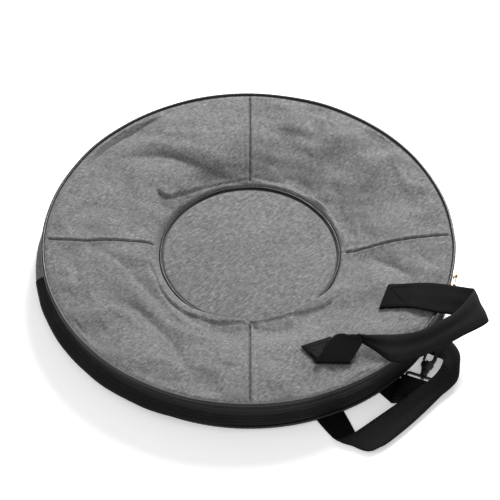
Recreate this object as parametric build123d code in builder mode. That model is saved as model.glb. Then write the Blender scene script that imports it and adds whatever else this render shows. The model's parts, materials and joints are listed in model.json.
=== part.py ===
from build123d import *
from math import cos, degrees, hypot, radians, sin, atan2
import os

# Soft round carrying case for a handpan, empty and lying flat.
# Frame: origin at the centre of the underside, +Z up, handles towards +X and -Y,
# lid seams along X and Y. All dimensions in millimetres.

# ---- driving dimensions -------------------------------------------------------------
CASE_R = 286.0            # outside of the side wall
WALL_T = 3.0              # side wall fabric with its padding
INSIDE_R = CASE_R - WALL_T - 0.5
FABRIC_T = 1.5            # laminated outer fabric
LINING_T = 1.0
FOAM_T = 6.0
GAP = 0.5                 # half of the clearance along the lid's fold line

BOTTOM_T = 3.0            # base board cover
BOTTOM_R = CASE_R - 2.4
CHANNEL_ROOM = 1.0        # channel's width beyond its webbing
CHANNEL_H = 2.6           # dent in the underside where webbing passes
PIPING_R = 2.5
RIM_PIPING_Z = 56.2
BASE_PIPING_Z = 5.1
WALL_LO = 8.0
WALL_HI = 53.5

ZIP_Z = 42.5              # height of the zipper line
ZIP_FIRST = -171.2        # zipper's left end, degrees about Z
ZIP_LAST = -8.8           # zipper's right end
WALL_SEAM = 0.1           # degrees left between the back wall and the zippered wall
COIL_H = 1.1
COIL_GAP = 0.1
TAPE_H = 8.0
TAPE_T = 0.8

DISC_R = 127.0            # centre disc, middle of its piping
DISC_TOP = 23.5           # the disc has sunk on to the base
DISC_PIPING_R = 2.0
FOLD_Y = -42.0            # the lid bends here, between the zipper's two ends
RIM_CUT = 0.3             # degrees from the fold to the cut end of the rim piping
DISC_CUT = 0.9            # degrees from the fold to the cut end of the disc piping
DISC_PIPING_RISE = 1.3

WEB_T = 2.4               # webbing thickness
WEB_W = 40.0              # handle webbing
GRIP_W = 30.0             # lower handle where it is rolled for the hand
STRAP_W = 38.0            # shoulder strap webbing

# lid surface from the middle outwards: radius, height
LID_PROFILE = [(0, DISC_TOP), (126, DISC_TOP), (134, 38), (150, 47), (200, 54.5), (284, 57)]

os.makedirs("parts", exist_ok=True)


def save(piece, name):
    """Label a finished piece and write it as one STEP file."""
    piece.part.label = name
    export_step(piece.part, f"parts/{name}.step")


def radial_plane(angle):
    """Vertical plane through the Z axis: its x runs outwards at the angle, its y runs up."""
    c, s = cos(radians(angle)), sin(radians(angle))
    return Plane(origin=(0, 0, 0), x_dir=(c, s, 0), z_dir=(s, -c, 0))


def flap_side():
    """Keep what lies in front of the fold line."""
    split(bisect_by=Plane(origin=(0, FOLD_Y - GAP, 0), z_dir=(0, -1, 0)), keep=Keep.TOP)


def fixed_side():
    """Keep what lies behind the fold line."""
    split(bisect_by=Plane(origin=(0, FOLD_Y + GAP, 0), z_dir=(0, 1, 0)), keep=Keep.TOP)


def wall(name, r_in, r_out, z_lo, z_hi, first, last):
    """Arc of side wall, tape or coil between two angles."""
    with BuildPart() as arc:
        with BuildSketch(radial_plane(first)):
            with Locations(((r_in + r_out) / 2, (z_lo + z_hi) / 2)):
                Rectangle(r_out - r_in, z_hi - z_lo)
        revolve(axis=Axis.Z, revolution_arc=last - first)
    save(arc, name)


def piping(name, ring_r, z, wire_r, first, last):
    """Round piping along an arc."""
    with BuildPart() as cord:
        with BuildSketch(radial_plane(first)):
            with Locations((ring_r, z)):
                Circle(wire_r)
        revolve(axis=Axis.Z, revolution_arc=last - first)
    save(cord, name)


def lid_height(radius):
    """Height of the lid's outer surface at a radius."""
    for (r0, z0), (r1, z1) in zip(LID_PROFILE, LID_PROFILE[1:]):
        if radius <= r1:
            return z0 + (z1 - z0) * (radius - r0) / (r1 - r0)
    return LID_PROFILE[-1][1]


def layer_outline(r_in, r_out, down, thick):
    """Closed section of one lid layer, its top a given depth under the lid's surface."""
    radii = [r_in] + [r for r, _ in LID_PROFILE if r_in < r < r_out] + [r_out]
    top = [(r, lid_height(r) - down) for r in radii]
    low = [(r, z - thick) for r, z in reversed(top)]
    return top + low


def lid_layer(name, r_in, r_out, down, thick, first, last, keep_side=None, groove=False):
    """Sector of one layer of the lid between two angles and two radii."""
    with BuildPart() as layer:
        with BuildSketch(radial_plane(first)):
            with BuildLine():
                Polyline(*layer_outline(r_in, r_out, down, thick), close=True)
            make_face()
            if groove:
                with Locations((DISC_R, DISC_TOP + 3)):
                    Rectangle(2 * DISC_PIPING_R + 0.6, 8.4, mode=Mode.SUBTRACT)
        revolve(axis=Axis.Z, revolution_arc=last - first)
        if keep_side:
            keep_side()
    save(layer, name)


# ---- base ---------------------------------------------------------------------------
FRONT_LEG = [(72, -208), (124, -294)]     # lower handle, end nearer the front
SIDE_LEG = [(205, -93), (270, -158)]      # lower handle, end nearer the side
STRAP_FOLD = (216, -244)                  # where the shoulder strap doubles back
BACK_TURN = 155                           # degrees from the strap's front end round to its back end


def strap_line():
    """Middle of the shoulder strap where it lies under the case."""
    far = Vector(*STRAP_FOLD).rotate(Axis.Z, BACK_TURN)
    return Polyline(STRAP_FOLD, (0, 0), (far.X, far.Y))


def base_pieces():
    """Underside, its padding and the lower part of the side wall."""
    with BuildPart() as bottom_panel:
        Cylinder(BOTTOM_R, BOTTOM_T, align=(Align.CENTER, Align.CENTER, Align.MIN))
        for leg in (FRONT_LEG, SIDE_LEG):
            with BuildSketch():
                with BuildLine():
                    Polyline(*leg)
                trace(line_width=WEB_W + CHANNEL_ROOM)
            extrude(amount=CHANNEL_H, mode=Mode.SUBTRACT)
        with BuildSketch():
            with BuildLine():
                strap_line()
            trace(line_width=STRAP_W + CHANNEL_ROOM)
        extrude(amount=CHANNEL_H, mode=Mode.SUBTRACT)
    save(bottom_panel, "bottom_panel")

    with BuildPart(Plane.XY.offset(BOTTOM_T)) as bottom_foam:
        Cylinder(INSIDE_R, FOAM_T, align=(Align.CENTER, Align.CENTER, Align.MIN))
    save(bottom_foam, "bottom_foam")

    with BuildPart(Plane.XY.offset(BOTTOM_T + FOAM_T)) as bottom_lining:
        Cylinder(INSIDE_R, LINING_T, align=(Align.CENTER, Align.CENTER, Align.MIN))
    save(bottom_lining, "bottom_lining")

    piping("bottom_piping", CASE_R + 0.5, BASE_PIPING_Z, PIPING_R, 0, 360)
    wall("lower_side_band", CASE_R - WALL_T, CASE_R, WALL_LO, ZIP_Z - COIL_GAP - COIL_H, ZIP_FIRST, ZIP_LAST)
    wall("back_side_wall", CASE_R - WALL_T, CASE_R, WALL_LO, WALL_HI, ZIP_LAST + WALL_SEAM,
         360 + ZIP_FIRST - WALL_SEAM)


# ---- zipper -------------------------------------------------------------------------
END_TAB = 3.0             # degrees of arc covered by each fabric tab over a zipper end
END_TAB_GAP = 0.4
END_TAB_UP = 9.0
END_TAB_DOWN = 10.0
SLIDER_ANGLES = {"a": -14.5, "b": -11.0}
SLIDER_W = 12.0
SLIDER_H = 10.0
SLIDER_T = 2.6
SLIDER_R = CASE_R + 3.0   # inner face of a slider
BRIDGE_W = 3.0
BRIDGE_D = 4.0
BRIDGE_HOLE_R = 1.5
PULL_BAR_R = 0.9
PULL_R = SLIDER_R + SLIDER_T + 2.0
PULL_DROP = 9.6           # from the bar down to the ring's centre
PULL_RING_R = 3.6
PULL_RING_HOLE_R = 2.1
PULL_T = 1.6


def zipper_tracks():
    """Tapes and coils on both sides of the zipper line, and the tabs over its ends."""
    low_edge = ZIP_Z - COIL_GAP
    high_edge = ZIP_Z + COIL_GAP
    coil_in, coil_out = CASE_R - 2.5, CASE_R + 1.0
    wall("lower_zipper_coil", coil_in, coil_out, low_edge - COIL_H, low_edge, ZIP_FIRST, ZIP_LAST)
    wall("upper_zipper_coil", coil_in, coil_out, high_edge, high_edge + COIL_H, ZIP_FIRST, ZIP_LAST)
    low_top = low_edge - COIL_H
    high_low = high_edge + COIL_H
    wall("lower_zipper_tape", CASE_R, CASE_R + TAPE_T, low_top - TAPE_H, low_top, ZIP_FIRST, ZIP_LAST)
    wall("upper_zipper_tape", CASE_R, CASE_R + TAPE_T, high_low, high_low + TAPE_H, ZIP_FIRST, ZIP_LAST)
    wall("upper_side_band", CASE_R - WALL_T, CASE_R, high_low, WALL_HI, ZIP_FIRST, ZIP_LAST)
    right_tab = ZIP_LAST + END_TAB_GAP
    left_tab = ZIP_FIRST - END_TAB_GAP
    tab_low, tab_high = ZIP_Z - END_TAB_DOWN, ZIP_Z + END_TAB_UP
    wall("zipper_end_tab_right", CASE_R, CASE_R + WEB_T, tab_low, tab_high, right_tab, right_tab + END_TAB)
    wall("zipper_end_tab_left", CASE_R, CASE_R + WEB_T, tab_low, tab_high, left_tab - END_TAB, left_tab)


def tangent_plane(angle, radius, z):
    """Plane facing outwards: its x runs along the rim, its y runs up."""
    c, s = cos(radians(angle)), sin(radians(angle))
    return Plane(origin=(radius * c, radius * s, z), x_dir=(-s, c, 0), z_dir=(c, s, 0))


def zipper_slider(name, angle):
    """Slider body with the bridge that holds its pull."""
    face = tangent_plane(angle, SLIDER_R, ZIP_Z)
    top = tangent_plane(angle, SLIDER_R + SLIDER_T, ZIP_Z)
    c, s = cos(radians(angle)), sin(radians(angle))
    side = Plane(origin=(PULL_R * c, PULL_R * s, ZIP_Z), x_dir=(c, s, 0), z_dir=(s, -c, 0))
    with BuildPart() as slider:
        with BuildSketch(face):
            with BuildLine():
                Polyline((-3.4, -SLIDER_H / 2), (3.4, -SLIDER_H / 2), (SLIDER_W / 2, SLIDER_H / 2 - 3),
                         (SLIDER_W / 2, SLIDER_H / 2), (-SLIDER_W / 2, SLIDER_H / 2),
                         (-SLIDER_W / 2, SLIDER_H / 2 - 3), close=True)
            make_face()
            fillet(vertices(), 1)
        extrude(amount=SLIDER_T)
        with BuildSketch(top):
            RectangleRounded(BRIDGE_W, 8, 1)
        extrude(amount=BRIDGE_D)
        with BuildSketch(side):
            Circle(BRIDGE_HOLE_R)
        extrude(amount=BRIDGE_W, both=True, mode=Mode.SUBTRACT)
    save(slider, name)


def zipper_pull(name, angle):
    """Pull hanging from the bridge: a bar, two legs and a ring."""
    face = tangent_plane(angle, PULL_R - PULL_T / 2, ZIP_Z)
    c, s = cos(radians(angle)), sin(radians(angle))
    across = Plane(origin=(PULL_R * c, PULL_R * s, ZIP_Z), x_dir=(c, s, 0), z_dir=(s, -c, 0))
    with BuildPart() as pull:
        with BuildSketch(face):
            with Locations((0, -PULL_DROP)):
                Circle(PULL_RING_R)
            with Locations((-3, -PULL_DROP / 2), (3, -PULL_DROP / 2)):
                Rectangle(1.4, PULL_DROP)
            with Locations((0, -PULL_DROP)):
                Circle(PULL_RING_HOLE_R, mode=Mode.SUBTRACT)
        extrude(amount=PULL_T)
        with BuildSketch(across):
            Circle(PULL_BAR_R)
        extrude(amount=3.7, both=True)
    save(pull, name)


# ---- lid ----------------------------------------------------------------------------
PANEL_IN = DISC_R + DISC_PIPING_R
PANEL_OUT = 284.0


def lid_pieces():
    """Outer panels, disc, piping, foam and lining, each parted at the fold line."""
    lid_layer("back_right_panel", PANEL_IN, PANEL_OUT, 0, FABRIC_T, 0, 90)
    lid_layer("back_left_panel", PANEL_IN, PANEL_OUT, 0, FABRIC_T, 90, 180)
    for side, first in (("right", -90), ("left", -180)):
        lid_layer(f"front_{side}_panel", PANEL_IN, PANEL_OUT, 0, FABRIC_T, first, first + 90, flap_side)
        lid_layer(f"front_{side}_panel_root", PANEL_IN, PANEL_OUT, 0, FABRIC_T, first, first + 90,
                  fixed_side)
    inner = DISC_R - DISC_PIPING_R
    skin = FABRIC_T
    under = FABRIC_T + FOAM_T
    for part, side in (("front", flap_side), ("back", fixed_side)):
        lid_layer(f"centre_disc_{part}", 0, inner, 0, FABRIC_T, 0, 360, side)
        lid_layer(f"lid_foam_{part}", 0, INSIDE_R, skin, FOAM_T, 0, 360, side, groove=True)
        lid_layer(f"lid_lining_{part}", 0, INSIDE_R, under, LINING_T, 0, 360, side)
    fold = degrees(atan2(-FOLD_Y, CASE_R + 1))
    disc_fold = degrees(atan2(-FOLD_Y, (DISC_R**2 - FOLD_Y**2) ** 0.5))
    first, last = fold - 180, -fold
    piping("rim_piping_front", CASE_R + 1, RIM_PIPING_Z, PIPING_R, first + RIM_CUT, last - RIM_CUT)
    piping("rim_piping_back", CASE_R + 1, RIM_PIPING_Z, PIPING_R, last + RIM_CUT, 360 + first - RIM_CUT)
    disc_z = DISC_TOP + DISC_PIPING_RISE
    first, last = disc_fold - 180, -disc_fold
    piping("disc_piping_front", DISC_R, disc_z, DISC_PIPING_R, first + DISC_CUT, last - DISC_CUT)
    piping("disc_piping_back", DISC_R, disc_z, DISC_PIPING_R, last + DISC_CUT, 360 + first - DISC_CUT)


# ---- handles ------------------------------------------------------------------------
UPPER_Z = 59.2            # underside of the upper handle where it crosses the rim
UPPER_SIDE_END = [(184, -104), (222, -106.5)]
UPPER_SIDE_RUN = [(210, -105.7), (300, -117)]
UPPER_GRIP_RUN = [(305, -117), (290, -148), (250, -178), (210, -196), (104, -198)]
UPPER_FRONT_END = [(74, -205), (112, -192)]
UPPER_HINGE = [(85, -220), (220, -127)]   # line between the two sewn ends
LOWER_GRIP_RUN = [(125, -292), (150, -302), (187, -278), (223, -244), (261, -217), (276, -195)]
SIDE_TURN = [(262, -140), (278, -156)]    # where the loop turns back over its side end
SIDE_TURN_W = 26.0
LOWER_RETURN = [(276, -192), (277, -150)]  # narrow part of the loop that passes the hook
RETURN_W = 22.0
LOWER_GRIP_Z = 9.2
LOWER_TANGENT = -46.0     # direction in which the lower handle stands off
LOWER_OFFSET = 293.0      # its turning line is this far from the centre
HANDLE_GAP = 0.6
SEWN_LOW = 45.0           # a sewn end starts below the lid and is cut to its slope
SEWN_FIRST_R = 150.0
SEWN_DEPTH = 20.0


def line_plane(start, end, shift):
    """Upright plane along a line from start to end, moved outwards by shift, facing outwards."""
    dx, dy = end[0] - start[0], end[1] - start[1]
    length = hypot(dx, dy)
    nx, ny = dy / length, -dx / length
    return Plane(origin=(start[0] + nx * shift, start[1] + ny * shift, 0), z_dir=(nx, ny, 0))


def web(points, width, z, thick):
    """Flat run of webbing along a polyline, added to the current part."""
    with BuildSketch(Plane.XY.offset(z)) as flat:
        with BuildLine():
            Polyline(*points)
        trace(line_width=width)
    extrude(flat.sketch, amount=thick)


def on_lid(run, width, z_hi):
    """Sewn end of webbing that lies on the lid's slope."""
    web(run, width, SEWN_LOW, z_hi - SEWN_LOW)
    with BuildSketch(radial_plane(-90)) as below:
        with BuildLine():
            Polyline(*layer_outline(SEWN_FIRST_R, PANEL_OUT, 0, SEWN_DEPTH), close=True)
        make_face()
    revolve(below.sketch, axis=Axis.Z, revolution_arc=90, mode=Mode.SUBTRACT)


def upper_handle():
    """Carrying handle on the lid: two sewn ends and a loop that lies over the rim."""
    z_two = UPPER_Z + WEB_T
    inner = line_plane(*UPPER_HINGE, -HANDLE_GAP)
    outer = line_plane(*UPPER_HINGE, HANDLE_GAP)
    with BuildPart() as side_end:
        on_lid(UPPER_SIDE_END, WEB_W, UPPER_Z)
        web(UPPER_SIDE_RUN, WEB_W, UPPER_Z, WEB_T)
        split(bisect_by=inner, keep=Keep.BOTTOM)
    save(side_end, "upper_handle_side_end")

    with BuildPart() as front_end:
        on_lid(UPPER_FRONT_END, WEB_W, z_two)
        web(UPPER_GRIP_RUN[-2:], WEB_W, z_two, WEB_T)
        split(bisect_by=inner, keep=Keep.BOTTOM)
    save(front_end, "upper_handle_front_end")

    with BuildPart() as loop:
        web(UPPER_SIDE_RUN, WEB_W, UPPER_Z, WEB_T)
        web(UPPER_GRIP_RUN, WEB_W, z_two, WEB_T)
        split(bisect_by=outer, keep=Keep.TOP)
    save(loop, "upper_handle_loop")


def lower_handle():
    """Carrying handle under the base: two sewn ends and a loop that lies on the floor."""
    c, s = cos(radians(LOWER_TANGENT)), sin(radians(LOWER_TANGENT))
    start = (LOWER_OFFSET * c, LOWER_OFFSET * s)
    end = (start[0] - s * 10, start[1] + c * 10)
    inner = line_plane(start, end, -HANDLE_GAP)
    outer = line_plane(start, end, HANDLE_GAP)
    for name, leg in (("front", FRONT_LEG), ("side", SIDE_LEG)):
        with BuildPart() as sewn_end:
            web(leg, WEB_W, 0, WEB_T)
            split(bisect_by=inner, keep=Keep.BOTTOM)
        save(sewn_end, f"lower_handle_{name}_end")

    with BuildPart() as loop:
        web(FRONT_LEG, WEB_W, 0, LOWER_GRIP_Z)
        web(SIDE_TURN, SIDE_TURN_W, 0, LOWER_GRIP_Z)
        web(LOWER_GRIP_RUN, GRIP_W, LOWER_GRIP_Z, WEB_T)
        web(LOWER_RETURN, RETURN_W, LOWER_GRIP_Z, WEB_T)
        split(bisect_by=outer, keep=Keep.TOP)
    save(loop, "lower_handle_loop")


# ---- shoulder strap and its hooks ---------------------------------------------------
BARREL = Vector(240.0, -192.0, 9.3)
HOOK_HEADING = 68.0       # direction from the barrel to the ring, in plan
HOOK_RISE = 12.7          # degrees upwards
RING_AT = 35.2            # ring wire's distance from the barrel
RING_WIRE = 1.5
RING_BEND = 9.0
RING_STEM = 5.0
TAB_W = 15.0
EYE_AT = -18.0
EYE_W = 43.0
EYE_D = 12.0
EYE_WIRE = 2.0
PIN_R = 2.5
CLAW_SECTION = 5.0
CLAW_HALF = 7.0
CLAW_START = 8.0
CLAW_END = 41.4
GATE_PIVOT = (11.0, 7.0)
GATE_END = 33.0
GATE_T = 3.4


def hook_frame(turn):
    """Plane of a hook: origin in its barrel, x along it, z upwards."""
    heading = HOOK_HEADING + turn
    c, s = cos(radians(heading)), sin(radians(heading))
    up, flat = sin(radians(HOOK_RISE)), cos(radians(HOOK_RISE))
    origin = BARREL.rotate(Axis.Z, turn)
    return Plane(origin=origin, x_dir=(c * flat, s * flat, up), z_dir=(-c * up, -s * up, flat))


def shifted(plane, x, y=0.0, z=0.0):
    """The same plane with its origin moved along its own axes."""
    origin = plane.origin + plane.x_dir * x + plane.y_dir * y + plane.z_dir * z
    return Plane(origin=origin, x_dir=plane.x_dir, z_dir=plane.z_dir)


def across(plane, x, y=0.0):
    """Plane at x along the hook whose normal is the hook's own direction."""
    base = shifted(plane, x, y)
    return Plane(origin=base.origin, x_dir=plane.y_dir, z_dir=plane.x_dir)


def swivel_eye(name, frame):
    """Loop that takes the webbing, with the collar in which the hook turns."""
    with BuildPart() as eye:
        with BuildSketch(shifted(frame, EYE_AT, 0, -EYE_WIRE)):
            RectangleRounded(EYE_D, EYE_W + 2 * EYE_WIRE, 5)
            RectangleRounded(EYE_D - 4 * EYE_WIRE + 2, EYE_W - 2 * EYE_WIRE + 2, 2.4, mode=Mode.SUBTRACT)
        extrude(amount=2 * EYE_WIRE)
        with BuildSketch(across(frame, EYE_AT + EYE_D / 2 - 1)):
            Circle(5)
        extrude(amount=8)
        with BuildSketch(across(frame, EYE_AT)):
            Circle(PIN_R + 0.1)
        extrude(amount=20, mode=Mode.SUBTRACT)
    save(eye, name)


def snap_hook(name, frame):
    """Barrel, swivel pin and claw; the claw is open where the gate closes it."""
    with BuildPart() as hook:
        with BuildSketch(across(frame, -4.6)):
            Circle(6)
        extrude(amount=12.6)
        with BuildSketch(across(frame, EYE_AT + 1)):
            Circle(PIN_R)
        extrude(amount=15)
        length = CLAW_END - CLAW_START + CLAW_SECTION
        middle = (CLAW_END + CLAW_START) / 2
        with BuildSketch(shifted(frame, middle, 0, -CLAW_SECTION / 2)):
            SlotOverall(length, 2 * CLAW_HALF + CLAW_SECTION)
            SlotOverall(length - 2 * CLAW_SECTION, 2 * CLAW_HALF - CLAW_SECTION, mode=Mode.SUBTRACT)
            with Locations(((GATE_PIVOT[0] + GATE_END) / 2 - middle, CLAW_HALF)):
                Rectangle(GATE_END - GATE_PIVOT[0] + 3.4, CLAW_SECTION + 2, mode=Mode.SUBTRACT)
        extrude(amount=CLAW_SECTION)
    save(hook, name)


def hook_gate(name, frame):
    """Lever that closes the claw."""
    length = GATE_END - GATE_PIVOT[0]
    with BuildPart() as gate:
        with BuildSketch(shifted(frame, GATE_PIVOT[0] + length / 2, GATE_PIVOT[1], -GATE_T / 2)):
            SlotOverall(length + GATE_T - 1, GATE_T)
        extrude(amount=GATE_T)
    save(gate, name)


def d_ring(name, frame, turn):
    """Ring that stands in the upright plane through the hook."""
    heading = HOOK_HEADING + turn
    c, s = cos(radians(heading)), sin(radians(heading))
    tip = shifted(frame, RING_AT).origin
    upright = Plane(origin=tip, x_dir=(c, s, 0), z_dir=(s, -c, 0))
    far = RING_BEND + RING_STEM
    with BuildPart() as ring:
        with BuildLine(upright):
            bend = ThreePointArc((RING_BEND, RING_BEND), (0, 0), (RING_BEND, -RING_BEND))
            low = Line(bend @ 1, (far, -RING_BEND))
            bar = Line(low @ 1, (far, RING_BEND))
            Line(bar @ 1, bend @ 0)
        with BuildSketch(Plane(origin=bend @ 0, z_dir=bend % 0)):
            Circle(RING_WIRE)
        sweep(transition=Transition.RIGHT)
    save(ring, name)


def ring_tab(name, frame, turn):
    """Webbing loop round the ring's bar, sewn flat on the side wall."""
    bar = shifted(frame, RING_AT).origin
    heading = radians(HOOK_HEADING + turn)
    far = RING_BEND + RING_STEM
    x, y = bar.X + far * cos(heading), bar.Y + far * sin(heading)
    angle = degrees(atan2(y, x))
    radius = hypot(x, y)
    tab_angle = angle + 3.2
    with BuildPart() as tab:
        with BuildSketch(Plane.XY.offset(bar.Z - TAB_W / 2)):
            with Locations((x, y)):
                Circle(RING_WIRE + 2)
        extrude(amount=TAB_W)
        with BuildSketch(radial_plane(angle)):
            with Locations(((CASE_R + radius) / 2, bar.Z)):
                Rectangle(radius - CASE_R, TAB_W)
        revolve(axis=Axis.Z, revolution_arc=tab_angle - angle)
        with BuildSketch(Plane.XY):
            with Locations((x, y)):
                Circle(RING_WIRE)
        extrude(amount=60, mode=Mode.SUBTRACT)
    save(tab, name)


def shoulder_strap():
    """Webbing under the case, doubled back at both ends."""
    with BuildPart() as strap:
        with BuildSketch():
            with BuildLine():
                strap_line()
            trace(line_width=STRAP_W)
        extrude(amount=WEB_T)
        for turn in (0, BACK_TURN):
            frame = hook_frame(turn)
            first = shifted(frame, EYE_AT - EYE_D / 2 - 0.3).origin
            last = shifted(frame, EYE_AT - EYE_D / 2 - 38).origin
            web([(first.X, first.Y), (last.X, last.Y)], STRAP_W, WEB_T, WEB_T)
    save(strap, "shoulder_strap")


base_pieces()
zipper_tracks()
for key, place in SLIDER_ANGLES.items():
    zipper_slider(f"zipper_slider_{key}", place)
    zipper_pull(f"zipper_pull_{key}", place)
lid_pieces()
upper_handle()
lower_handle()
for spot, turned in (("front", 0), ("back", BACK_TURN)):
    hook_plane = hook_frame(turned)
    swivel_eye(f"swivel_eye_{spot}", hook_plane)
    snap_hook(f"snap_hook_{spot}", hook_plane)
    hook_gate(f"hook_gate_{spot}", hook_plane)
    d_ring(f"d_ring_{spot}", hook_plane, turned)
    ring_tab(f"d_ring_tab_{spot}", hook_plane, turned)
shoulder_strap()
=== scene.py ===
import json
from math import cos, pi, radians, sin

import bpy
import numpy as np
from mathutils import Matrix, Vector

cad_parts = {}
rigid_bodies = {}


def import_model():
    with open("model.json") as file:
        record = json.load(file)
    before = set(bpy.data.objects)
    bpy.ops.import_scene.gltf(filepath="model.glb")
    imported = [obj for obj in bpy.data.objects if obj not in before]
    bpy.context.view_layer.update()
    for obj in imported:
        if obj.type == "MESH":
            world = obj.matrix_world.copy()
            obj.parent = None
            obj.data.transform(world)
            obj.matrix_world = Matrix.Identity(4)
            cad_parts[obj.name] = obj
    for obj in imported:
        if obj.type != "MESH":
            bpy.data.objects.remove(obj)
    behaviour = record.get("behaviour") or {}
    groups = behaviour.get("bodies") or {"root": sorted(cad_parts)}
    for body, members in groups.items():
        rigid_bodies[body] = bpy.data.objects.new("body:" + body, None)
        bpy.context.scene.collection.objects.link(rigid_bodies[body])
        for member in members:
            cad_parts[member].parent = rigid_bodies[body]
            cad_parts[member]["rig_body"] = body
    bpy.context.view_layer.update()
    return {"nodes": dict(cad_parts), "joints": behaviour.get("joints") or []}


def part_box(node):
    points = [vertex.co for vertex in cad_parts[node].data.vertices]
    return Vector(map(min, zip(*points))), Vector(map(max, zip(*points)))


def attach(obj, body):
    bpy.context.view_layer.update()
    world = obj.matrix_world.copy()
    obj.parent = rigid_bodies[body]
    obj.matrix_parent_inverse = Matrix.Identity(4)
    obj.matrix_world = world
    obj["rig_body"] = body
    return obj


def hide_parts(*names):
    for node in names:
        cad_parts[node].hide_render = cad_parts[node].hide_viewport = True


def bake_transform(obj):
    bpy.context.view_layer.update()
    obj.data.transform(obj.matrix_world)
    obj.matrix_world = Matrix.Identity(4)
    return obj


# Soft round carrying case for a handpan, lying empty: its looks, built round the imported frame.
# Lengths are metres; MM turns a length in millimetres into one. Angles are about Z, from +X.

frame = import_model()
MM = 0.001

# ---- places taken from the frame ----------------------------------------------------
RIM_CORD = 2.5 * MM        # radius of the rim and base piping in the CAD
DISC_CORD = 2.0 * MM       # radius of the disc piping in the CAD
CASE_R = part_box("back_side_wall")[1].y
WALL_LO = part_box("back_side_wall")[0].z
WALL_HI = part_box("back_side_wall")[1].z
RIM_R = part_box("rim_piping_back")[1].y - RIM_CORD
RIM_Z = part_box("rim_piping_back")[1].z - RIM_CORD
DISC_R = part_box("disc_piping_back")[1].y - DISC_CORD
DISC_PIPING_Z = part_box("disc_piping_back")[1].z - DISC_CORD
DISC_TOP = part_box("centre_disc_back")[1].z
BASE_PIPING_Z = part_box("bottom_piping")[1].z - RIM_CORD
COIL_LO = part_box("lower_zipper_coil")[0].z
COIL_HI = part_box("upper_zipper_coil")[1].z
ZIP_Z = (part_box("lower_zipper_coil")[1].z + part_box("upper_zipper_coil")[0].z) / 2
INSIDE_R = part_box("bottom_lining")[1].y
FLOOR_PAD_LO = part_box("bottom_foam")[0].z
FLOOR_PAD_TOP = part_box("bottom_lining")[1].z
JOINTS = {joint["name"]: joint for joint in frame["joints"]}
PANEL_IN = DISC_R + 1.6 * MM
PANEL_OUT = CASE_R - 0.4 * MM
ZIP_FIRST, ZIP_LAST = -171.2, -8.8      # the zipper's ends in degrees
FABRIC_T = 1.5 * MM
FOAM_T = 6 * MM
LINING_T = 1 * MM
SIDE_T = 2.8 * MM
TAPE_T = 1.0 * MM
WEB_T = 2.2 * MM
CORD_R = 2.35 * MM                      # radius that the rim and base piping are drawn with
DISC_CORD_R = 1.35 * MM                 # the same for the disc piping
DOWN = np.array([0, 0, -1.0])


# ---- curves and noise ---------------------------------------------------------------
def spline(points, count):
    """Points on a smooth curve through the given ones, evenly spread over its spans."""
    p = np.array(points, float)
    p = np.vstack([2 * p[0] - p[1], p, 2 * p[-1] - p[-2]])
    spans = len(p) - 3
    t = np.linspace(0, spans, count)
    i = np.minimum(t.astype(int), spans - 1)
    f = (t - i)[:, None]
    a, b, c, d = p[i], p[i + 1], p[i + 2], p[i + 3]
    return 0.5 * (2 * b + (c - a) * f + (2 * a - 5 * b + 4 * c - d) * f**2 + (3 * b - a - 3 * c + d) * f**3)


def round_values(angle, marks):
    """Smooth closed function of an angle in degrees, through (angle, value) marks."""
    a = np.array([m[0] for m in marks], float)
    v = np.array([m[1] for m in marks], float)
    a = np.concatenate([a - 360, a, a + 360])
    v = np.concatenate([v, v, v])
    x = np.mod(angle, 360)
    i = np.clip(np.searchsorted(a, x, side="right") - 1, 1, len(a) - 3)
    f = (x - a[i]) / (a[i + 1] - a[i])
    f = f * f * (3 - 2 * f)
    return v[i] * (1 - f) + v[i + 1] * f


def ripples(x, y, wavelength, count, seed):
    """Seeded sum of plane waves of about one wavelength, mostly between -1 and 1."""
    rng = np.random.RandomState(seed)
    total = np.zeros_like(x)
    for _ in range(count):
        turn = rng.uniform(0, pi)
        k = 2 * pi / (wavelength * rng.uniform(0.7, 1.5))
        total += np.sin(k * (x * cos(turn) + y * sin(turn)) + rng.uniform(0, 2 * pi))
    return total / count**0.5 / 1.6


def ripple_sum(x, y, sets):
    """Sum of ripples given as (height, wavelength, count, seed)."""
    return sum(height * ripples(x, y, wavelength, count, seed) for height, wavelength, count, seed in sets)


def smooth_step(value, low, high):
    """0 below low, 1 above high and an S-curve between them."""
    t = np.clip((value - low) / (high - low), 0, 1)
    return t * t * (3 - 2 * t)


def plateau(value, rise, fall):
    """1 between two ranges, rising over the first and falling over the second."""
    return smooth_step(value, *rise) * (1 - smooth_step(value, *fall))


def around(radius, angle, z):
    """Points at radii, angles in radians and heights."""
    return np.stack(np.broadcast_arrays(radius * np.cos(angle), radius * np.sin(angle), z), -1)


def round_grid(radii, steps):
    """Radius, angle, x and y over a full turn, one row per radius."""
    rr, aa = np.meshgrid(radii, full_turn(steps), indexing="ij")
    return rr, aa, rr * np.cos(aa), rr * np.sin(aa)


def full_turn(steps):
    """Angles in radians, once round."""
    return np.linspace(0, 2 * pi, steps, endpoint=False)


def facing_up(x, y, z):
    """Grid in metres of a round surface that faces up, from millimetres over a round grid."""
    return np.swapaxes(np.stack([x, y, z], -1) * MM, 0, 1)[::-1]


def even_edges(first, last, steps, fine):
    """Radii or shares that are closer together near both ends."""
    t = np.linspace(0, 1, steps)
    return first + (last - first) * ((1 - fine) * t + fine * (t - np.sin(2 * pi * t) / (2 * pi)))


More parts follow.
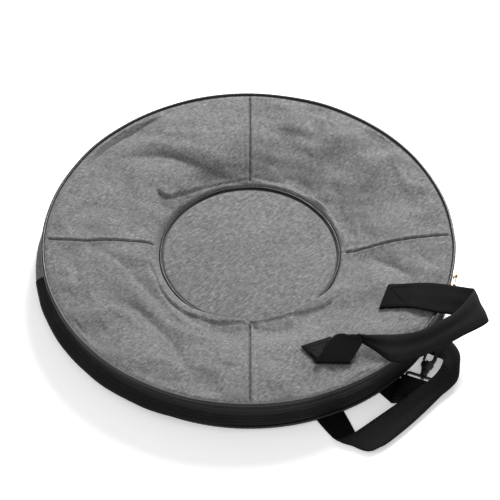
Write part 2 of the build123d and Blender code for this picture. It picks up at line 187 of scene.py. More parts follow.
def piece(name, verts, faces, looks, indices=None, uv=None, body="base", replaces=()):
    """Smooth mesh object that rides on a body; uv is one pair per vertex."""
    mesh = bpy.data.meshes.new(name)
    mesh.from_pydata([tuple(v) for v in verts], [], [tuple(int(i) for i in f) for f in faces])
    for look in looks:
        mesh.materials.append(look)
    if indices is not None:
        mesh.polygons.foreach_set("material_index", np.array(indices, np.int32))
    mesh.polygons.foreach_set("use_smooth", [True] * len(mesh.polygons))
    if uv is not None:
        layer = mesh.uv_layers.new(name="weave")
        loops = np.zeros(len(mesh.loops), np.int32)
        mesh.loops.foreach_get("vertex_index", loops)
        layer.data.foreach_set("uv", np.array(uv, np.float32)[loops].ravel())
    mesh.update()
    obj = bpy.data.objects.new(name, mesh)
    bpy.context.scene.collection.objects.link(obj)
    if body:
        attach(obj, body)
    if replaces:
        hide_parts(*replaces)
    return obj


def grid_faces(nu, nv, start=0, closed=False, flip=False):
    """Quads over a grid of nu by nv points; closed joins the last row of u to the first."""
    u = np.arange(nu if closed else nu - 1)
    v = np.arange(nv - 1)
    uu, vv = np.meshgrid(u, v, indexing="ij")
    nxt = (uu + 1) % nu
    quads = np.stack([uu * nv + vv, nxt * nv + vv, nxt * nv + vv + 1, uu * nv + vv + 1], -1).reshape(-1, 4)
    if flip:
        quads = quads[:, ::-1]
    return quads + start


def thick_sheet(top, low, closed=False):
    """Vertices and faces of the closed solid between two grids, and its count of top faces."""
    nu, nv = top.shape[:2]
    verts = np.vstack([top.reshape(-1, 3), low.reshape(-1, 3)])
    n = nu * nv
    faces = [grid_faces(nu, nv, 0, closed), grid_faces(nu, nv, n, closed, flip=True)]
    u = np.arange(nu if closed else nu - 1)
    nxt = (u + 1) % nu
    for col, turn in ((0, False), (nv - 1, True)):
        side = np.stack([u * nv + col, u * nv + col + n, nxt * nv + col + n, nxt * nv + col], -1)
        faces.append(side[:, ::-1] if turn else side)
    if not closed:
        v = np.arange(nv - 1)
        for row, turn in ((0, True), (nu - 1, False)):
            end = np.stack([row * nv + v, row * nv + v + n, row * nv + v + 1 + n, row * nv + v + 1], -1)
            faces.append(end[:, ::-1] if turn else end)
    return verts, np.vstack(faces), len(faces[0])


def fabric(name, top, low, look, nodes, closed=False):
    """Piece of cloth or foam between two grids."""
    verts, faces, _ = thick_sheet(top, low, closed)
    return piece(name, verts, faces, [look], replaces=nodes)


def grid_normals(grid):
    """Unit normals of a grid of points."""
    n = np.cross(np.gradient(grid, axis=0), np.gradient(grid, axis=1))
    return n / np.maximum(np.linalg.norm(n, axis=2, keepdims=True), 1e-12)


def swept_tube(path, radius, sides=14, closed=True, upright=None):
    """Tube along a path of points.

    Its radius is a number or one per point, and so is its upright radius where that differs.
    """
    path = np.array(path, float)
    if closed:
        along = np.roll(path, -1, 0) - np.roll(path, 1, 0)
    else:
        along = np.gradient(path, axis=0)
    along /= np.linalg.norm(along, axis=1, keepdims=True)
    side = np.cross(along, (0, 0, 1))
    side /= np.maximum(np.linalg.norm(side, axis=1, keepdims=True), 1e-9)
    up = np.cross(side, along)
    turn = full_turn(sides)[None, :, None]
    count = len(path)
    wide, high = (np.broadcast_to(r, (count,))[:, None, None]
                  for r in (radius, radius if upright is None else upright))
    ring = side[:, None, :] * np.cos(turn) * wide + up[:, None, :] * np.sin(turn) * high
    verts = (path[:, None, :] + ring).reshape(-1, 3)
    faces = []
    for i in range(count if closed else count - 1):
        here, after = i * sides, (i + 1) % count * sides
        for k in range(sides):
            m = (k + 1) % sides
            faces.append((here + k, after + k, after + m, here + m))
    if not closed:
        faces.append(tuple(range(sides)))
        faces.append(tuple(range((count - 1) * sides, count * sides))[::-1])
    return verts, faces


# ---- materials ----------------------------------------------------------------------
BAND = 0.314159    # metres between the bands of a wave texture whose scale is 1


class Look:
    """Material in the making: most methods add nodes to its tree and return the socket they end in."""

    def __init__(self, name, roughness, sheen=0.0, metallic=0.0, specular=0.5):
        self.material = bpy.data.materials.new(name)
        self.material.use_nodes = True
        self.tree = self.material.node_tree
        self.shader = self.tree.nodes["Principled BSDF"]
        self.shader.inputs["Roughness"].default_value = roughness
        self.shader.inputs["Metallic"].default_value = metallic
        self.shader.inputs["Specular IOR Level"].default_value = specular
        self.shader.inputs["Sheen Weight"].default_value = sheen

    def node(self, kind, inputs=(), **settings):
        """New node, its inputs given as sockets to link or as plain values."""
        made = self.tree.nodes.new(kind)
        for key, value in settings.items():
            setattr(made, key, value)
        for key, value in dict(inputs).items():
            if isinstance(value, bpy.types.NodeSocket):
                self.tree.links.new(value, made.inputs[key])
            else:
                made.inputs[key].default_value = value
        return made

    def place(self, scale, turn, uv):
        """Coordinates on the piece, turned about Z by degrees and scaled."""
        if uv:
            source = self.node("ShaderNodeUVMap", uv_map="weave").outputs["UV"]
        else:
            source = self.node("ShaderNodeTexCoord").outputs["Object"]
        turned = self.node("ShaderNodeMapping", {"Vector": source, "Rotation": (0, 0, radians(turn))})
        return self.node("ShaderNodeMapping", {"Vector": turned.outputs[0], "Scale": scale}).outputs[0]

    def noise(self, scale, detail, roughness, turn=0.0, uv=False):
        """Cloudy noise with one scale, or one for each axis."""
        scale = scale if isinstance(scale, tuple) else (scale,) * 3
        made = self.node("ShaderNodeTexNoise", {"Vector": self.place(scale, turn, uv), "Scale": 1.0,
                                                "Detail": detail, "Roughness": roughness})
        return made.outputs["Fac"]

    def waves(self, per_metre, turn=0.0, uv=False, across="X"):
        """Even bands across an axis."""
        made = self.node("ShaderNodeTexWave", {"Vector": self.place((1, 1, 1), turn, uv),
                                               "Scale": per_metre * BAND},
                         wave_type="BANDS", bands_direction=across)
        return made.outputs["Fac"]

    def math(self, how, a, b):
        """One operation on two values."""
        return self.node("ShaderNodeMath", {0: a, 1: b}, operation=how).outputs[0]

    def total(self, *parts):
        """Sum of (value, weight) pairs."""
        terms = [self.math("MULTIPLY", value, weight) for value, weight in parts]
        result = terms[0]
        for term in terms[1:]:
            result = self.math("ADD", result, term)
        return result

    def ramp(self, value, *stops):
        """Colours from a value, through (position, grey or colour) stops."""
        made = self.node("ShaderNodeValToRGB", {"Fac": value})
        elements = made.color_ramp.elements
        while len(elements) < len(stops):
            elements.new(0.5)
        for element, (place, colour) in zip(elements, stops):
            colour = colour if isinstance(colour, tuple) else (colour,) * 3
            element.position = place
            element.color = (*colour, 1)
        return made.outputs["Color"]

    def paint(self, value, *stops, to="Base Color"):
        """Colours from a value into one of the shader's inputs."""
        self.tree.links.new(self.ramp(value, *stops), self.shader.inputs[to])

    def bump(self, height, strength, depth_mm):
        """Bumps from a height, as deep as this in millimetres."""
        inputs = {"Height": height, "Strength": strength, "Distance": depth_mm * MM}
        self.tree.links.new(self.node("ShaderNodeBump", inputs).outputs[0], self.shader.inputs["Normal"])


def heather_oxford():
    """Grey melange Oxford cloth: light and dark fibre streaks both ways, over a fine basket weave."""
    look = Look("heather_oxford", 0.95, sheen=0.04, specular=0.15)
    one = look.noise((160, 860, 400), 1, 0.5, turn=-38)
    two = look.noise((170, 820, 400), 1, 0.5, turn=46)
    streaks = look.total((one, 0.66), (two, 0.34))
    fibres = look.total((streaks, 0.9), (look.noise(560, 1, 0.5), 0.1))
    greys = look.ramp(fibres, (0.34, 0.078), (0.46, 0.122), (0.54, 0.152), (0.66, 0.24))
    cloud = look.ramp(look.noise(16, 2, 0.5), (0.3, 0.93), (0.7, 1.05))
    mixed = look.node("ShaderNodeMix", {"Factor": 1.0}, data_type="RGBA", blend_type="MULTIPLY")
    look.tree.links.new(greys, mixed.inputs[6])
    look.tree.links.new(cloud, mixed.inputs[7])
    look.tree.links.new(mixed.outputs[2], look.shader.inputs["Base Color"])
    weave = look.total((look.waves(1500, 45), 0.5), (look.waves(1500, -45), 0.5))
    look.bump(look.total((weave, 0.5), (fibres, 1)), 0.35, 0.35)
    return look.material


def black_oxford():
    """Black Oxford cloth of the front side bands."""
    look = Look("black_oxford", 0.75, sheen=0.01, specular=0.16)
    speckle = look.noise(900, 2, 0.6)
    tone = look.total((speckle, 0.6), (look.noise((22, 22, 60), 2, 0.5), 0.4))
    look.paint(tone, (0.3, 0.003), (0.55, 0.006), (0.8, 0.016))
    height = look.total((look.waves(1400), 0.5), (look.waves(1400, across="Z"), 0.5), (speckle, 1))
    look.bump(height, 0.5, 0.4)
    return look.material


def satin_piping():
    """Satin bias tape wrapped round a cord: fine slanting threads, and worn patches."""
    look = Look("satin_piping", 0.34, specular=0.42)
    threads = look.noise((700, 1800, 700), 2, 0.6, turn=30)
    wear = look.noise(90, 3, 0.6)
    tone = look.total((threads, 0.5), (wear, 0.5))
    look.paint(tone, (0.35, (0.003, 0.003, 0.004)), (0.7, (0.010, 0.010, 0.012)))
    look.paint(wear, (0.3, 0.30), (0.7, 0.48), to="Roughness")
    look.bump(threads, 0.35, 0.25)
    return look.material


def webbing(ribbed):
    """Polypropylene webbing, u along it and v across: crosswise ribs on one face, twill on the other."""
    if ribbed:
        look = Look("webbing_ribbed", 0.62, specular=0.11)
    else:
        look = Look("webbing_twill", 0.72, specular=0.05)
    fuzz = look.noise((1400, 1400, 1), 2, 0.6, uv=True)
    patches = look.noise((30, 60, 1), 2, 0.5, uv=True)
    if ribbed:
        pattern = look.waves(430, uv=True)
        height = look.total((pattern, 1), (look.waves(640, 90, uv=True), 0.35))
        # painted highlight: on the ribbed face the colour follows the same ribs as the bumps, so the rib
        # tops are painted lighter than the grooves between them
        darkest, middle, lightest = (0.002, 0.002, 0.003), (0.0045, 0.0045, 0.005), (0.013, 0.013, 0.015)
        half_way, depth = 0.5, 0.7
    else:
        pattern = look.waves(760, 58, uv=True)
        height = look.total((pattern, 1), (fuzz, 0.6))
        darkest, middle, lightest = (0.002, 0.002, 0.0025), (0.005, 0.005, 0.0055), (0.011, 0.011, 0.012)
        half_way, depth = 0.6, 0.3
    tone = look.total((pattern, 0.55), (patches, 0.35), (look.math("SUBTRACT", fuzz, 0.5), 0.3))
    look.paint(tone, (0.1, darkest), (half_way, middle), (0.95, lightest))
    look.bump(height, 0.8, depth)
    return look.material


def thread():
    """Black polyester sewing thread."""
    look = Look("sewing_thread", 0.6, specular=0.12)
    twist = look.waves(2600, 40)
    look.paint(twist, (0.0, 0.002), (1.0, 0.008))
    look.bump(twist, 0.5, 0.1)
    return look.material


def nylon_coil():
    """Moulded nylon coil of the zipper."""
    look = Look("nylon_coil", 0.34, specular=0.35)
    grain = look.noise(1200, 2, 0.6)
    look.paint(grain, (0.3, 0.010), (0.7, 0.024))
    look.bump(grain, 0.3, 0.1)
    return look.material


def zipper_tape():
    """Ribbed zipper tape."""
    look = Look("zipper_tape", 0.7, sheen=0.01, specular=0.16)
    both = look.total((look.waves(900, across="Z"), 0.6), (look.noise(1000, 2, 0.6), 0.4))
    look.paint(both, (0.2, 0.003), (0.8, 0.014))
    look.bump(both, 0.6, 0.3)
    return look.material


def lining():
    """Black brushed nylon lining with a soft, slightly blotchy nap."""
    look = Look("brushed_lining", 0.85, sheen=0.08, specular=0.2)
    nap = look.noise((420, 900, 420), 3, 0.65, turn=20)
    tone = look.total((nap, 0.6), (look.noise(18, 2, 0.5), 0.4))
    look.paint(tone, (0.3, 0.016), (0.7, 0.045))
    look.bump(nap, 0.4, 0.3)
    return look.material


def foam():
    """Dark closed-cell foam."""
    look = Look("closed_cell_foam", 0.9, specular=0.2)
    inputs = {"Vector": look.place((900, 900, 900), 0, False), "Scale": 1.0}
    cells = look.node("ShaderNodeTexVoronoi", inputs).outputs[0]
    look.paint(cells, (0.0, 0.05), (0.8, 0.12))
    look.bump(cells, 0.5, 0.3)
    return look.material


def pale_gold():
    """Plated zinc of the zipper sliders, duller where fingers rub it."""
    look = Look("pale_gold", 0.24, metallic=1.0)
    rubbed = look.noise(260, 3, 0.6)
    look.paint(rubbed, (0.3, (0.36, 0.26, 0.15)), (0.7, (0.55, 0.42, 0.27)))
    look.paint(rubbed, (0.3, 0.18), (0.7, 0.36), to="Roughness")
    look.bump(look.noise(2500, 2, 0.5), 0.1, 0.05)
    return look.material


def moulded_plastic():
    """Glossy black acetal with faint flow marks and handling scuffs."""
    look = Look("moulded_plastic", 0.25)
    scuffs = look.noise((300, 900, 500), 4, 0.65, turn=25)
    look.paint(scuffs, (0.35, 0.006), (0.75, 0.016))
    look.paint(scuffs, (0.3, 0.16), (0.75, 0.42), to="Roughness")
    look.bump(look.noise(1500, 2, 0.5), 0.12, 0.08)
    return look.material


def floor_paint():
    """Plain white studio floor with a little painted glow of its own, which lightens the case's shadow on
    it.
    """
    look = Look("studio_floor", 0.85, specular=0.2)
    look.paint(look.noise(2, 2, 0.5), (0.0, 0.90), (1.0, 0.93))
    # painted glow: the floor gives off light, which washes out the case's shadow on it and lights the case
    # from below
    look.shader.inputs["Emission Color"].default_value = (1, 1, 1, 1)
    look.shader.inputs["Emission Strength"].default_value = 0.35
    return look.material


OXFORD = heather_oxford()
BLACK = black_oxford()
PIPING = satin_piping()
RIBBED = webbing(True)
TWILL = webbing(False)
THREAD = thread()
COIL = nylon_coil()
TAPE = zipper_tape()
LINING = lining()
FOAM = foam()
GOLD = pale_gold()
PLASTIC = moulded_plastic()


# ---- the lid's shape ----------------------------------------------------------------
# Height of the outer cloth in millimetres: one row per direction, one value per radius.
LID_RADII = [128, 133, 139, 148, 162, 182, 210, 245, 290]
LID_HEIGHTS = {
    0: [24, 26, 28, 30, 36, 43.5, 50, 54, 57],
    20: [24, 26, 27.5, 28.5, 34.5, 42, 48.5, 53.5, 57],
    45: [24, 26, 27.5, 28.5, 33.5, 41, 47.5, 53, 57],
    75: [24, 26.5, 28, 30, 36, 43.5, 49.5, 54, 57],
    92: [24, 27, 29, 33, 40.5, 47.5, 52, 55, 57],
    108: [24, 29, 32, 38, 47, 51, 53.5, 55.5, 57],
    125: [24, 29, 32, 38, 47, 52, 54, 56, 57],
    145: [24, 31, 35, 41, 49.5, 52.5, 54.5, 56, 57],
    160: [24, 36, 43, 47.5, 50.5, 52.5, 54.5, 56, 57],
    182: [24, 39, 46, 49, 51, 53, 55, 56, 57],
    205: [24, 34, 41, 45, 47.5, 50.5, 53.5, 55.5, 57],
    225: [24, 29.5, 33, 36, 41.5, 46.5, 51.5, 55, 57],
    243: [24, 30, 32, 33, 39, 45, 51, 55, 57],
    256: [24, 30.5, 31.5, 32, 37.5, 44.5, 51, 55, 57],
    272: [24, 31, 31.5, 31.5, 36.5, 44, 51, 55, 57],
    292: [24, 31, 31.5, 31.5, 36, 43.5, 51, 55, 57],
    312: [24, 30.5, 31.5, 32, 37, 43.5, 50.5, 55, 57],
    328: [24, 29, 32, 33, 38.5, 44, 50.5, 54.5, 57],
    345: [24, 28, 31, 33, 38.5, 44.5, 50.5, 54.5, 57],
}
# How far the cloth hangs inward over the disc piping: (degrees, millimetres).
OVERHANG = [(0, 0), (215, 0), (232, 1), (246, 5), (262, 8), (275, 7), (290, 9), (312, 8), (324, 3), (334, 0),
            (350, 0)]

# How far the slack case stands outside its sewn circle at the rim: (degrees, millimetres).
RIM_OUT = [(0, 0.5), (60, 0.5), (110, 1.5), (150, 3.0), (182, 4.0), (215, 3.2), (248, 1.2), (270, 0.2),
           (330, 0.0)]

# Folds in the cloth: points in plan, how deep (below zero a ridge), half-width, and how much the left
# side of the line stands above the right; all in millimetres.
FOLDS = [
    ([(-234, 143), (-206, 178), (-175, 207), (-148, 229), (-104, 261)], 6.5, 7, 1.5),
    ([(-180, 160), (-124, 200), (-74, 204), (-9, 214)], -3.0, 18, 0),
    ([(-190, 154), (-150, 163), (-123, 164), (-95, 158), (-52, 142), (-20, 135)], 4.0, 10, 4.0),
    ([(-153, 94), (-112, 118)], 2.5, 9, 0),
    ([(-126, 40), (-128, 70), (-131, 97), (-118, 92), (-96, 105), (-60, 124), (-18, 136)], 1.6, 2.2, 5.5),
    ([(-223, -10), (-178, -43), (-153, -70), (-129, -97), (-108, -123)], 5.0, 10, -1.5),
    ([(-146, -14), (-139, -56), (-114, -100), (-88, -134), (-50, -146)], -3.5, 6, 0),
    ([(-136, -40), (-118, -84), (-88, -114), (-48, -133), (-2, -139)], 1.8, 2.0, 4.8),
    ([(-170, -110), (-144, -129), (-113, -163), (-96, -192), (-82, -224)], 6.5, 8, -1.5),
    ([(-158, -95), (-120, -133), (-80, -160), (-30, -166)], -3.0, 9, 0),
    ([(-59, -202), (-7, -238)], 2.0, 9, 0),
    ([(4, -138), (46, -129), (80, -115), (108, -99), (127, -78)], 1.6, 4.0, 3.4),
    ([(170, -18), (197, -41), (225, -67)], 3.2, 6, 0),
    ([(225, -13), (267, -58)], 2.6, 7, 0),
    ([(7, -204), (40, -200)], 1.6, 6, 0),
    ([(144, -199), (182, -219)], 4.0, 9, 0),
    ([(120, -160), (160, -175), (200, -170)], -2.0, 14, 0),
    ([(8, 140), (56, 129), (102, 97), (130, 53), (139, 24)], 1.6, 2.4, -3.4),
    ([(110, 215), (160, 170), (205, 110)], -2.2, 22, 0),
    ([(90, 190), (150, 130), (185, 60)], 2.2, 18, 0),
    ([(-262, 40), (-235, 10), (-225, -20)], 1.4, 10, 0),
    ([(67, 140), (92, 124)], 2.5, 7, 0),
    ([(-4, -130), (2, -136), (9, -144)], 5.0, 2.4, 0),
    ([(-250, 60), (-200, 62), (-160, 45)], 1.5, 14, 0),
    ([(-215, -80), (-205, -130), (-170, -180)], -1.6, 16, 0),
    ([(10, -170), (60, -165), (110, -140)], -1.8, 12, 0),
]
CREASE_ROUND = 1.6           # radius in millimetres at the bottom of a fold
STEP_REACH = 22              # millimetres out from a fold over which its raised side settles back
STEP_WIDTH = (-0.35, 0.6)    # where the raised side starts and ends, in half-widths from the fold

# Millimetres of radius over which things fade in and out beside the cloth's seams, inner and outer.
FOLDS_RISE, FOLDS_FALL = (128, 134), (266, 284)
RIPPLES_RISE, RIPPLES_FALL = (129, 146), (262, 284)
SEAM_RISE, SEAM_FALL = (133, 141), (274, 283)
RIM_DIP, RIM_RISE = (279, 285.5), (190, 284)
OVERHANG_AT, OVERHANG_WIDTH, OVERHANG_RISE = 135, 7.5, (128.5, 132.5)
LID_RIPPLES = [(1.3, 75, 9, 3), (0.5, 26, 12, 8), (0.15, 9, 14, 21)]
SEAM_HOLD = 32               # millimetres either side of a radial seam where ripples are small
SEAM_STIFF = 34              # the same for simulated movement


def lid_base(radius, angle):
    """Height in millimetres of the slack cloth before its folds, at a radius and an angle in degrees."""
    rows = np.array([round_values(angle, [(a, heights[i]) for a, heights in LID_HEIGHTS.items()])
                     for i in range(len(LID_RADII))])
    r = np.array(LID_RADII, float)
    slope = 0.8 * np.gradient(rows, r, axis=0)
    i = np.clip(np.searchsorted(r, radius) - 1, 0, len(r) - 2)
    width = r[i + 1] - r[i]
    f = np.clip((radius - r[i]) / width, 0, 1)
    here = (i, *np.indices(radius.shape))
    after = (i + 1, *np.indices(radius.shape))
    values = (2 * f**3 - 3 * f**2 + 1) * rows[here] + (3 * f**2 - 2 * f**3) * rows[after]
    slopes = (f**3 - 2 * f**2 + f) * slope[here] + (f**3 - f**2) * slope[after]
    return values + width * slopes


def fold_shape(x, y, points, depth, half_width, lift):
    """Change of height in millimetres that one fold makes at plan points, easing out at its two ends."""
    line = spline(points, 60)
    ahead = np.gradient(line, axis=0)
    dx = x.ravel()[:, None] - line[None, :, 0]
    dy = y.ravel()[:, None] - line[None, :, 1]
    gaps = np.hypot(dx, dy)
    nearest = gaps.argmin(1)
    every = np.arange(len(nearest))
    dx, dy, gap = dx[every, nearest], dy[every, nearest], gaps[every, nearest]
    ax, ay = ahead[nearest].T
    spacing = np.hypot(ax, ay)
    # the distance to the line itself, and not to the nearest of its points
    beyond = np.clip((ax * dx + ay * dy) / spacing, -spacing, spacing)
    gap = np.sqrt(np.clip(gap**2 - beyond**2, 0, None))
    across = np.sign(ax * dy - ay * dx) * gap * np.sign(lift)
    ease = np.sin(pi * np.clip(nearest / (len(line) - 1) * 0.9 + 0.05, 0, 1)) ** 0.7
    crease = -depth * np.exp(-(np.hypot(gap, CREASE_ROUND) - CREASE_ROUND) / half_width)
    step = smooth_step(across, STEP_WIDTH[0] * half_width, STEP_WIDTH[1] * half_width)
    raised = abs(lift) * step * np.exp(-np.clip(across, 0, None) / STEP_REACH)
    return (ease * (crease + raised)).reshape(x.shape)


def seam_nearness(radius, angle, reach):
    """1 on the four radial seams and 0 well away from them, at angles in radians."""
    return np.exp(-(radius * np.sin(2 * angle) / reach) ** 2)


def lid_points(radius, angle):
    """Outer cloth of the lid in millimetres, at radii in millimetres and angles in radians."""
    x, y = radius * np.cos(angle), radius * np.sin(angle)
    z = lid_base(radius, np.degrees(angle))
    sewn = plateau(radius, FOLDS_RISE, FOLDS_FALL)
    for fold in FOLDS:
        z = z + fold_shape(x, y, *fold) * sewn
    # a seam holds the cloth straight beside it
    hold = plateau(radius, RIPPLES_RISE, RIPPLES_FALL) * (1 - 0.75 * seam_nearness(radius, angle, SEAM_HOLD))
    z = z + hold * ripple_sum(x, y, LID_RIPPLES)
    # the cloth dips beside the rim piping, where it is sewn in
    z = z - 1.4 * smooth_step(radius, *RIM_DIP)
    out = radius + smooth_step(radius, *RIM_RISE) * round_values(np.degrees(angle), RIM_OUT)
    inward = round_values(np.degrees(angle), OVERHANG) * smooth_step(out, *OVERHANG_RISE)
    inward = inward * np.exp(-((out - OVERHANG_AT) / OVERHANG_WIDTH) ** 2)
    return around(out - inward * (1 + 0.05 * ripples(x, y, 40, 8, 61)), angle, z)


def lid_height(x, y):
    """Height in millimetres of the outer cloth over plan points outside the overhang."""
    radius, angle = np.hypot(x, y), np.arctan2(y, x)
    return lid_points(radius, angle)[..., 2] + slack.at(radius, angle)[..., 2] / MM


CLOTH = {"quality": 6, "mass": 0.25, "tension_stiffness": 25, "compression_stiffness": 25,
         "shear_stiffness": 8, "bending_stiffness": 3}


class Slack:
    """How simulated cloth, too large for the space it is sewn into, moves off its modelled shape."""
    rows, columns = 40, 230
    inner, outer = 129, 284    # radii of the sewn edges in millimetres
    spare = 0.022              # share by which the cloth is too large
    frames = 22
    most = 4.0 * MM

    def __init__(self):
        self.moves = np.zeros((self.rows, self.columns, 3))
        self.radii = np.linspace(self.inner, self.outer, self.rows)
        self.simulate()

    def simulate(self):
        """Run the cloth and keep its calmed movement."""
        rr, aa, _, _ = round_grid(self.radii, self.columns)
        base = np.swapaxes(lid_points(rr, aa) * MM, 0, 1)
        mesh = bpy.data.meshes.new("slack")
        faces = grid_faces(self.columns, self.rows, closed=True)
        mesh.from_pydata(base.reshape(-1, 3).tolist(), [], faces.tolist())
        obj = bpy.data.objects.new("slack", mesh)
        bpy.context.scene.collection.objects.link(obj)
        self.add_cloth(obj)
        scene = bpy.context.scene
        for frame_number in range(1, self.frames + 1):
            scene.frame_set(frame_number)
        seen = obj.evaluated_get(bpy.context.evaluated_depsgraph_get())
        flat = np.zeros(len(mesh.vertices) * 3)
        seen.data.vertices.foreach_get("co", flat)
        moved = flat.reshape(self.columns, self.rows, 3) - base
        self.moves = self.calmed(np.swapaxes(moved, 0, 1), rr, aa)
        scene.frame_set(1)
        bpy.data.objects.remove(obj)
        bpy.data.meshes.remove(mesh)

    def add_cloth(self, obj):
        """Cloth modifier that holds the two outermost rings at both edges."""
        held = obj.vertex_groups.new(name="sewn")
        index = np.arange(self.rows * self.columns).reshape(self.columns, self.rows)
        held.add([int(i) for i in index[:, [0, 1, -2, -1]].ravel()], 1.0, "REPLACE")
        cloth = obj.modifiers.new("cloth", "CLOTH")
        settings = cloth.settings
        for key, value in CLOTH.items():
            setattr(settings, key, value)
        settings.shrink_min = -self.spare
        settings.vertex_group_mass = "sewn"
        settings.effector_weights.gravity = 0
        cloth.collision_settings.use_collision = False
        cloth.point_cache.frame_start = 1
        cloth.point_cache.frame_end = self.frames

    def calmed(self, moved, rr, aa):
        """Movement kept short, small beside the stiff radial seams, and blurred round the lid."""
        size = np.linalg.norm(moved, axis=2, keepdims=True)
        moved = moved * self.most * np.tanh(size / self.most) / np.maximum(size, 1e-9)
        moved = moved * (1 - 0.85 * seam_nearness(rr, aa, SEAM_STIFF))[..., None]
        for _ in range(2):
            beside = (np.roll(moved, 1, 1) + np.roll(moved, -1, 1)) / 2
            moved = (moved + beside) / 2
        return moved

    def at(self, radius, angle):
        """Movement in metres at radii in millimetres and angles in radians."""
        u = np.clip((radius - self.radii[0]) / (self.radii[1] - self.radii[0]), 0, self.rows - 1.001)
        v = np.mod(angle, 2 * pi) / (2 * pi) * self.columns
        i, j = u.astype(int), v.astype(int)
        fu = smooth_step(u - i, 0, 1)[..., None]
        fv = smooth_step(v - j, 0, 1)[..., None]
        j, k = j % self.columns, (j + 1) % self.columns
        near = self.moves[i, j] * (1 - fv) + self.moves[i, k] * fv
        far = self.moves[i + 1, j] * (1 - fv) + self.moves[i + 1, k] * fv
        return near * (1 - fu) + far * fu


slack = Slack()


def seam_dip(gap):
    """How far cloth turns down at a seam, in millimetres, at a distance from it in millimetres."""
    return 4.2 * np.exp(-(gap / 1.5) ** 2) - 0.6 * np.exp(-((gap - 4.2) / 2.6) ** 2)


SEAM_SKEW = 1.6    # degrees by which the right-hand seam's outer end is pulled round


def seam_angle(angle, radius_mm):
    """Angle in degrees of a lid seam at a radius."""
    skew = SEAM_SKEW if angle % 360 == 0 else 0
    return angle + skew * smooth_step(radius_mm, 140, 285)


def lid_grid(first, last, steps, radii):
    """Outer surface of the lid between two angles in degrees."""
    rr, ss = np.meshgrid(radii, even_edges(0, 1, steps, 0.7), indexing="ij")
    low, high = seam_angle(first, rr), seam_angle(last, rr)
    angle = np.radians(low + (high - low) * ss)
    grid = lid_points(rr, angle) * MM + slack.at(rr, angle)
    gap = np.minimum(ss, 1 - ss) * np.radians(last - first) * rr
    shown = 1 - 0.85 * smooth_step(rr, *SEAM_FALL) - 0.9 * (1 - smooth_step(rr, *SEAM_RISE))
    grid[..., 2] -= seam_dip(gap) * (1 + 0.35 * np.sin(rr * 0.55)) * shown * MM
    return grid


def blend_lid(obj):
    """Lid piece taken off its body, with its place baked into its mesh."""
    obj.parent = None
    if "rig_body" in obj:
        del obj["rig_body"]
    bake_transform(obj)


def lid_panels():
    """Four outer panels of the lid."""
    radii = even_edges(PANEL_IN / MM, PANEL_OUT / MM, 78, 0.55)
    # the inner edge turns down into the disc piping
    down = 2.2 * MM * np.exp(-(np.arange(len(radii)) / 1.2) ** 2)
    sectors = [("back_right", 0, ["back_right_panel"]), ("back_left", 90, ["back_left_panel"]),
               ("front_left", 180, ["front_left_panel", "front_left_panel_root"]),
               ("front_right", 270, ["front_right_panel", "front_right_panel_root"])]
    for side, first, nodes in sectors:
        top = lid_grid(first, first + 90, 240, radii)
        top[:, :, 2] -= down[:, None]
        blend_lid(fabric(f"{side}_cloth", top, top + DOWN * FABRIC_T, OXFORD, nodes))


def lid_inside():
    """Foam and lining under the outer cloth, in one piece each from the centre to the rim."""
    radii = np.concatenate([np.linspace(0.5, 122, 22), np.linspace(125, INSIDE_R / MM, 44)])
    rr, _, x, y = round_grid(radii, 160)
    floor = DISC_TOP / MM
    z = np.where(rr < 128, floor, lid_height(x, y) - 1.6)
    z = z - 3.0 * np.exp(-((rr - 140) / 9) ** 2)
    z = np.where((rr > 120) & (rr < 138), np.minimum(z, floor + (rr - 120) * 0.4), z)
    outer = facing_up(x, y, z)
    quilt = 0.6 * MM * (1 + ripples(outer[..., 0] / MM, outer[..., 1] / MM, 40, 10, 5))
    for name, depth, thick, look, kind, sag, fill in (
            ("lid_padding", FABRIC_T, FOAM_T, FOAM, "foam", 0, 0.35),
            ("lid_inner_lining", FABRIC_T + FOAM_T, LINING_T, LINING, "lining", quilt, 0.1)):
        nodes = [f"lid_{kind}_back", f"lid_{kind}_front"]
        top = outer + DOWN * (depth + 0.2 * MM)
        low = top + DOWN * thick
        low[..., 2] -= sag
        obj = fabric(name, low[::-1], top[::-1], look, nodes, closed=True)
        blend_lid(obj)


def ring_cord(name, angle, radius, z, thick, nodes=(), sides=14):
    """Cord of piping round the case, at angles in radians; its thickness is a radius."""
    verts, faces = swept_tube(around(radius, angle, z), thick, sides=sides)
    return piece(name, verts, faces, [PIPING], replaces=nodes)


def centre_disc():
    """Taut disc in the middle of the lid, with its piping."""
    radii = np.concatenate([np.linspace(0.4, 110, 40), even_edges(112, DISC_R / MM - 1.4, 16, 0.3)])
    rr, _, x, y = round_grid(radii, 200)
    z = DISC_TOP / MM + 0.9 * np.cos(rr / 126 * pi / 2) - 2.6 * smooth_step(rr, 121.5, 125.6)
    z = z + ripple_sum(x, y, [(0.35, 60, 9, 17), (0.12, 14, 12, 31)])
    top = facing_up(x, y, z)
    blend_lid(fabric("disc_cloth", top, top + DOWN * FABRIC_T, OXFORD,
                     ["centre_disc_back", "centre_disc_front"], closed=True))
    a = full_turn(420)
    wobble = 0.35 * MM * ripples(a * 60, a * 0, 40, 6, 4)
    crimp = DISC_CORD_R * (1 + 0.05 * np.sin(a * 260) + 0.04 * np.sin(a * 97))
    blend_lid(ring_cord("disc_piping_cord", a, DISC_R + wobble, DISC_PIPING_Z + wobble * 0.6, crimp,
                        ["disc_piping_back", "disc_piping_front"]))
    # the piping's flat flange shows as a second line inside the cord
    crimp = 0.55 * MM * (1 + 0.1 * np.sin(a * 230))
    blend_lid(ring_cord("disc_piping_flange", a, DISC_R - 2.1 * MM, DISC_TOP + 0.1 * MM, crimp, sides=8))


RIM_ARC = 286    # millimetres of rim to a radian


